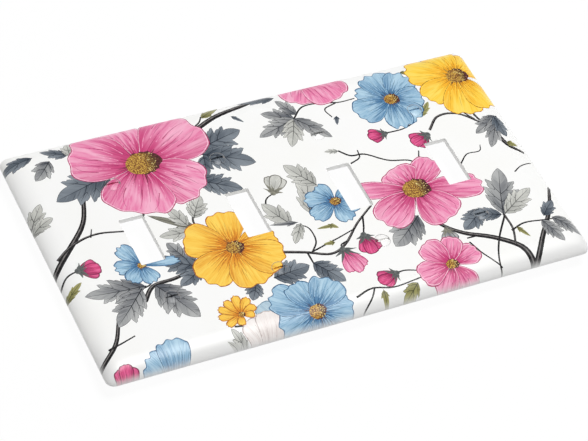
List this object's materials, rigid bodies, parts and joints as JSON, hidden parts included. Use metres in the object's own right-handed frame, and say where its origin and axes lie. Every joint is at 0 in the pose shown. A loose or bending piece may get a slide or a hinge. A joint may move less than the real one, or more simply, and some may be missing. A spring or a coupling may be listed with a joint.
{
  "type": "wall plate",
  "caption": "Rectangular wall plate cover for toggle switches side by side, with rounded edges, a floral print and oval-head screws through its face.",
  "frame": {"origin": "middle of the plate, on the wall plane that its rim touches", "axes": "+X along the long side, +Y up the wall, +Z out of the wall"},
  "size_m": [0.214, 0.118, 0.0134],
  "materials": {
    "printed_plastic": "smooth white plastic with a floral print",
    "printed_screw": "steel, its head painted white and printed to match the plate"
  },
  "bodies": {
    "plate": {"cover_plate": "printed_plastic"},
    "screw_gang1_upper": {"screw_gang1_upper": "printed_screw"},
    "screw_gang1_lower": {"screw_gang1_lower": "printed_screw"},
    "screw_gang2_upper": {"screw_gang2_upper": "printed_screw"},
    "screw_gang2_lower": {"screw_gang2_lower": "printed_screw"},
    "screw_gang3_upper": {"screw_gang3_upper": "printed_screw"},
    "screw_gang3_lower": {"screw_gang3_lower": "printed_screw"},
    "screw_gang4_upper": {"screw_gang4_upper": "printed_screw"},
    "screw_gang4_lower": {"screw_gang4_lower": "printed_screw"}
  },
  "joints": [
    {"name": "turn_gang1_upper", "type": "hinge", "parent": "plate", "child": "screw_gang1_upper", "pos_m": [-0.06906, 0.03017, 0], "axis": [0, 0, 1], "continuous": true},
    {"name": "turn_gang1_lower", "type": "hinge", "parent": "plate", "child": "screw_gang1_lower", "pos_m": [-0.06906, -0.03017, 0], "axis": [0, 0, 1], "continuous": true},
    {"name": "turn_gang2_upper", "type": "hinge", "parent": "plate", "child": "screw_gang2_upper", "pos_m": [-0.02302, 0.03017, 0], "axis": [0, 0, 1], "continuous": true},
    {"name": "turn_gang2_lower", "type": "hinge", "parent": "plate", "child": "screw_gang2_lower", "pos_m": [-0.02302, -0.03017, 0], "axis": [0, 0, 1], "continuous": true},
    {"name": "turn_gang3_upper", "type": "hinge", "parent": "plate", "child": "screw_gang3_upper", "pos_m": [0.02302, 0.03017, 0], "axis": [0, 0, 1], "continuous": true},
    {"name": "turn_gang3_lower", "type": "hinge", "parent": "plate", "child": "screw_gang3_lower", "pos_m": [0.02302, -0.03017, 0], "axis": [0, 0, 1], "continuous": true},
    {"name": "turn_gang4_upper", "type": "hinge", "parent": "plate", "child": "screw_gang4_upper", "pos_m": [0.06906, 0.03017, 0], "axis": [0, 0, 1], "continuous": true},
    {"name": "turn_gang4_lower", "type": "hinge", "parent": "plate", "child": "screw_gang4_lower", "pos_m": [0.06906, -0.03017, 0], "axis": [0, 0, 1], "continuous": true}
  ]
}
